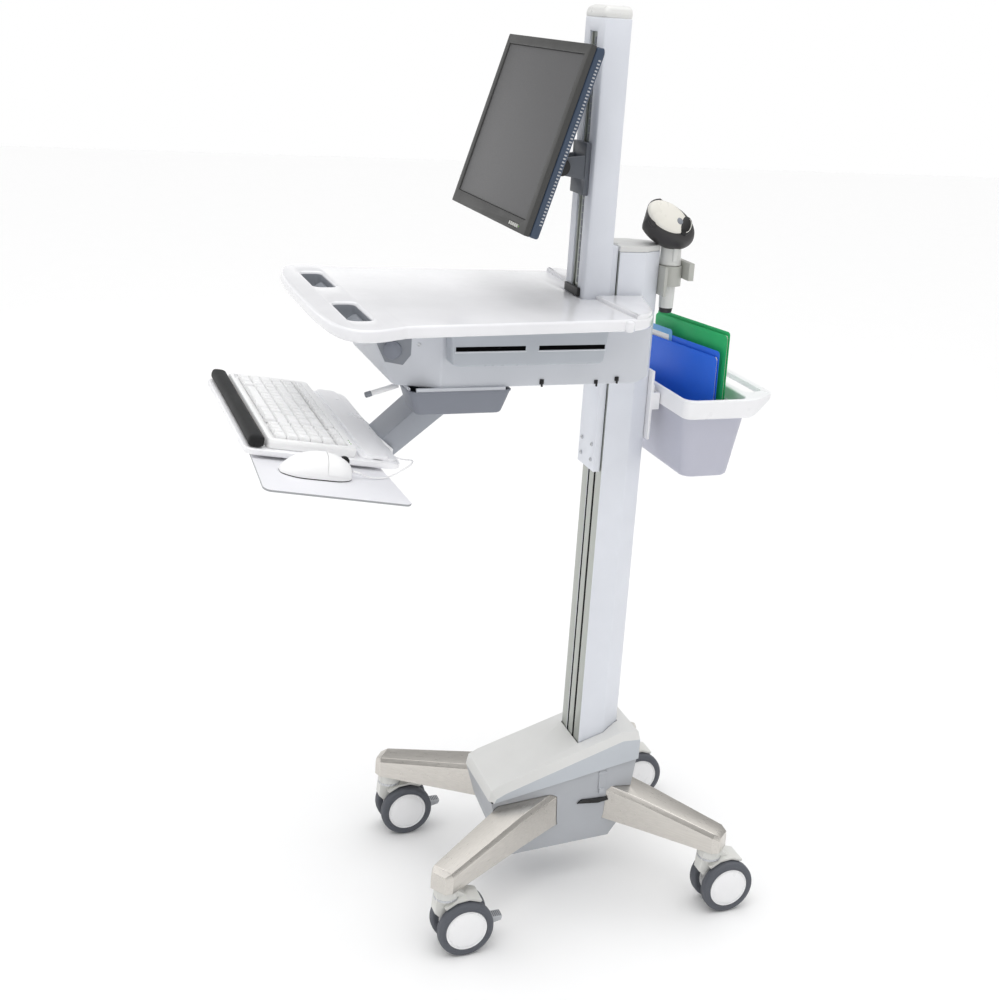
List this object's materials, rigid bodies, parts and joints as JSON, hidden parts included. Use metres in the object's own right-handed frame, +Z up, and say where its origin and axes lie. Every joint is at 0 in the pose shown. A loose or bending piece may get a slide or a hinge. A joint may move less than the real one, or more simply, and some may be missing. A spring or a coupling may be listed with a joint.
{
  "type": "medication cart",
  "caption": "Wheeled hospital workstation cart with a lifting worksurface, tilting display, keyboard and mouse trays, rear bin with folders and handheld scanner.",
  "frame": {"origin": "bottom centre of the cart's bounding box, on the floor", "axes": "+Z up, -Y towards the user who stands at the keyboard, +X to that user's right"},
  "size_m": [0.608, 0.943, 1.594],
  "materials": {
    "polished_aluminium": "polished",
    "cover_plastic": "matte",
    "tub_plastic": "matte",
    "tyre_rubber": "matte",
    "hub_plastic": "satin",
    "caster_plastic": "satin",
    "column_paint": "satin powder coat",
    "track_aluminium": "anodised",
    "bracket_grey": "matte",
    "monitor_shell": "fine texture",
    "monitor_bezel": "fine texture",
    "screen_glass": "anti-glare",
    "gloss_white": "gloss",
    "underbody_plastic": "fine texture",
    "lever_plastic": "matte",
    "holder_grey": "matte",
    "arm_grey": "satin",
    "tray_white": "satin",
    "wrist_black": "soft touch",
    "key_white": "fine texture",
    "mouse_tray_grey": "matte",
    "bin_white": "satin",
    "bin_tint": "translucent satin",
    "folder_blue": "card",
    "folder_green": "card",
    "scanner_white": "satin",
    "scanner_dark": "matte",
    "holder_light": "matte"
  },
  "bodies": {
    "base": {"base_frame": "polished_aluminium", "base_cover": "cover_plastic", "base_tub": "tub_plastic", "lift_column": "column_paint", "lift_column_cap": "cover_plastic", "bin_bracket": "bin_white", "scanner_holder": "holder_light"},
    "caster_front_left": {"caster_front_left_housing": "caster_plastic"},
    "wheels_front_left": {"caster_front_left_wheels": "hub_plastic", "caster_front_left_tyre_left": "tyre_rubber", "caster_front_left_tyre_right": "tyre_rubber"},
    "brake_front_left": {"caster_front_left_brake_pedal": "caster_plastic"},
    "caster_front_right": {"caster_front_right_housing": "caster_plastic"},
    "wheels_front_right": {"caster_front_right_wheels": "hub_plastic", "caster_front_right_tyre_left": "tyre_rubber", "caster_front_right_tyre_right": "tyre_rubber"},
    "brake_front_right": {"caster_front_right_brake_pedal": "caster_plastic"},
    "caster_rear_left": {"caster_rear_left_housing": "caster_plastic"},
    "wheels_rear_left": {"caster_rear_left_wheels": "hub_plastic", "caster_rear_left_tyre_left": "tyre_rubber", "caster_rear_left_tyre_right": "tyre_rubber"},
    "caster_rear_right": {"caster_rear_right_housing": "caster_plastic"},
    "wheels_rear_right": {"caster_rear_right_wheels": "hub_plastic", "caster_rear_right_tyre_left": "tyre_rubber", "caster_rear_right_tyre_right": "tyre_rubber"},
    "lift": {"carriage_plate": "track_aluminium", "display_column": "column_paint", "display_column_cap": "cover_plastic", "desk_top": "gloss_white", "desk_underbody": "underbody_plastic", "side_pod_left": "underbody_plastic", "side_pod_right": "underbody_plastic", "arm_bracket": "arm_grey", "scanner_tray": "holder_grey"},
    "display_slider": {"display_bracket": "bracket_grey"},
    "display": {"display_tilt_head": "bracket_grey", "monitor_shell": "monitor_shell", "monitor_bezel": "monitor_bezel", "monitor_screen": "screen_glass"},
    "display_keys": {"monitor_buttons": "monitor_bezel"},
    "grip_left": {"grip_lever_left": "lever_plastic"},
    "grip_right": {"grip_lever_right": "lever_plastic"},
    "release": {"arm_release_rod": "hub_plastic"},
    "arm": {"keyboard_arm": "arm_grey"},
    "tray": {"keyboard_tray": "tray_white", "wrist_rest": "wrist_black", "keyboard_case": "key_white"},
    "keys": {"keyboard_keys": "key_white"},
    "mouse_shelf": {"mouse_tray": "mouse_tray_grey", "mouse_body": "key_white", "mouse_cord": "key_white"},
    "mouse_left": {"mouse_button_left": "key_white"},
    "mouse_right": {"mouse_button_right": "key_white"},
    "mouse_scroll": {"mouse_wheel": "bracket_grey"},
    "bin": {"bin_body": "bin_tint", "bin_rim": "bin_white"},
    "file_blue": {"folder_blue": "folder_blue"},
    "file_green": {"folder_green": "folder_green"},
    "scanner": {"scanner_body": "scanner_white"},
    "trigger": {"scanner_trigger": "scanner_dark"}
  },
  "joints": [
    {"name": "swivel_front_left", "type": "hinge", "parent": "base", "child": "caster_front_left", "pos_m": [-0.236, -0.11545, 0.1222], "axis": [0, 0, 1], "continuous": true},
    {"name": "roll_front_left", "type": "hinge", "parent": "caster_front_left", "child": "wheels_front_left", "pos_m": [-0.236, -0.08445, 0.05], "axis": [1, 0, 0], "continuous": true},
    {"name": "brake_front_left", "type": "hinge", "parent": "caster_front_left", "child": "brake_front_left", "pos_m": [-0.236, -0.05445, 0.056], "axis": [1, 0, 0], "range_deg": [-16, 0]},
    {"name": "swivel_front_right", "type": "hinge", "parent": "base", "child": "caster_front_right", "pos_m": [0.148, -0.11545, 0.1222], "axis": [0, 0, 1], "continuous": true},
    {"name": "roll_front_right", "type": "hinge", "parent": "caster_front_right", "child": "wheels_front_right", "pos_m": [0.148, -0.08445, 0.05], "axis": [1, 0, 0], "continuous": true},
    {"name": "brake_front_right", "type": "hinge", "parent": "caster_front_right", "child": "brake_front_right", "pos_m": [0.148, -0.05445, 0.056], "axis": [1, 0, 0], "range_deg": [-16, 0]},
    {"name": "swivel_rear_left", "type": "hinge", "parent": "base", "child": "caster_rear_left", "pos_m": [-0.243, 0.38755, 0.1222], "axis": [0, 0, 1], "continuous": true},
    {"name": "roll_rear_left", "type": "hinge", "parent": "caster_rear_left", "child": "wheels_rear_left", "pos_m": [-0.243, 0.41855, 0.05], "axis": [1, 0, 0], "continuous": true},
    {"name": "swivel_rear_right", "type": "hinge", "parent": "base", "child": "caster_rear_right", "pos_m": [0.155, 0.38755, 0.1222], "axis": [0, 0, 1], "continuous": true},
    {"name": "roll_rear_right", "type": "hinge", "parent": "caster_rear_right", "child": "wheels_rear_right", "pos_m": [0.155, 0.41855, 0.05], "axis": [1, 0, 0], "continuous": true},
    {"name": "worksurface_lift", "type": "slide", "parent": "base", "child": "lift", "axis": [0, 0, 1], "range_m": [-0.46, 0.03]},
    {"name": "display_height", "type": "slide", "parent": "lift", "child": "display_slider", "axis": [0, 0, 1], "range_m": [-0.06, 0.065]},
    {"name": "display_tilt", "type": "hinge", "parent": "display_slider", "child": "display", "pos_m": [-0.044, 0.06355, 1.334], "axis": [1, 0, 0], "range_deg": [-8, 20]},
    {"name": "display_button_press", "type": "slide", "parent": "display", "child": "display_keys", "axis": [0, 0.9563, -0.2924], "range_m": [0, 0.0008], "stiffness_N_per_m": 400},
    {"name": "grip_lever_left", "type": "hinge", "parent": "lift", "child": "grip_left", "pos_m": [-0.044, -0.28345, 1.0915], "axis": [1, 0, 0], "range_deg": [0, 10], "stiffness_Nm_per_rad": 0.4},
    {"name": "grip_lever_right", "type": "hinge", "parent": "lift", "child": "grip_right", "pos_m": [-0.044, -0.28345, 1.0915], "axis": [1, 0, 0], "range_deg": [0, 10], "stiffness_Nm_per_rad": 0.4},
    {"name": "arm_release", "type": "hinge", "parent": "lift", "child": "release", "pos_m": [0.061, -0.21645, 0.993], "axis": [1, 0, 0], "range_deg": [0, 12], "stiffness_Nm_per_rad": 0.1},
    {"name": "keyboard_height", "type": "hinge", "parent": "lift", "child": "arm", "pos_m": [-0.044, -0.10845, 0.958], "axis": [1, 0, 0], "range_deg": [-25, 20]},
    {"name": "keyboard_level", "type": "hinge", "parent": "arm", "child": "tray", "pos_m": [-0.044, -0.21845, 0.864], "axis": [1, 0, 0], "range_deg": [-20, 25]},
    {"name": "key_travel", "type": "slide", "parent": "tray", "child": "keys", "axis": [0, -0.1564, -0.9877], "range_m": [0, 0.0025], "stiffness_N_per_m": 900},
    {"name": "mouse_tray_slide", "type": "slide", "parent": "tray", "child": "mouse_shelf", "axis": [1, 0, 0], "range_m": [-0.01, 0.05]},
    {"name": "mouse_click_left", "type": "slide", "parent": "mouse_shelf", "child": "mouse_left", "axis": [0, -0.1564, -0.9877], "range_m": [0, 0.0008], "stiffness_N_per_m": 300},
    {"name": "mouse_click_right", "type": "slide", "parent": "mouse_shelf", "child": "mouse_right", "axis": [0, -0.1564, -0.9877], "range_m": [0, 0.0008], "stiffness_N_per_m": 300},
    {"name": "mouse_wheel_turn", "type": "hinge", "parent": "mouse_shelf", "child": "mouse_scroll", "pos_m": [0.203, -0.33365, 0.91795], "axis": [1, 0, 0], "continuous": true},
    {"name": "bin_lift_off", "type": "slide", "parent": "base", "child": "bin", "axis": [0, 0, 1], "range_m": [0, 0.06]},
    {"name": "blue_folder_out", "type": "slide", "parent": "bin", "child": "file_blue", "axis": [0, 0, 1], "range_m": [0, 0.25]},
    {"name": "green_folder_out", "type": "slide", "parent": "bin", "child": "file_green", "axis": [0, 0, 1], "range_m": [0, 0.25]},
    {"name": "scanner_lift_out", "type": "slide", "parent": "base", "child": "scanner", "axis": [0, 0, 1], "range_m": [0, 0.12]},
    {"name": "scanner_trigger_pull", "type": "hinge", "parent": "scanner", "child": "trigger", "pos_m": [-0.0235, 0.28555, 1.2095], "axis": [0, 1, 0], "range_deg": [0, 4.5], "stiffness_Nm_per_rad": 0.05}
  ],
  "couplings": [
    {"joint": "keyboard_level", "follows": "keyboard_height", "ratio": -1}
  ]
}
